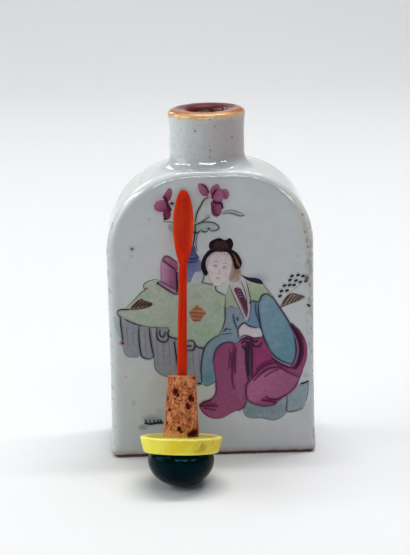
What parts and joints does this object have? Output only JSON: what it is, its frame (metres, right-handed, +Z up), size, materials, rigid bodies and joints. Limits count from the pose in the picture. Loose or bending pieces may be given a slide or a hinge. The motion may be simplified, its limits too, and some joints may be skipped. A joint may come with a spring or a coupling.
{
  "type": "snuff bottle",
  "caption": "Flattened hollow porcelain bottle with an arched outline and a short round neck, its stopper and long spoon leaning upside down against the front panel.",
  "frame": {"origin": "middle of the group's box in X and Y, on the surface that the bottle and the stopper stand on", "axes": "+Z up, from the foot to the mouth; -Y towards the painted front panel and the leaning stopper; +X to the right of someone who looks at that panel"},
  "size_m": [0.0418, 0.0396, 0.07],
  "materials": {
    "porcelain": "White porcelain under a faintly blue-green gloss glaze, painted on the front panel with overglaze enamels; brown-edged lip and bare foot ring.",
    "green_glass": "Very dark green-blue polished glass or stone, close to opaque.",
    "yellow_collar": "Opaque lemon yellow with a chipped rim and a fine crack.",
    "cork": "Bare natural cork with dark pores.",
    "orange_bone": "Bone stained orange-red, darker in the spoon's bowl."
  },
  "bodies": {
    "root": {"bottle": "porcelain", "stopper_cap": "green_glass", "stopper_collar": "yellow_collar", "stopper_cork": "cork", "spoon": "orange_bone"}
  },
  "joints": []
}
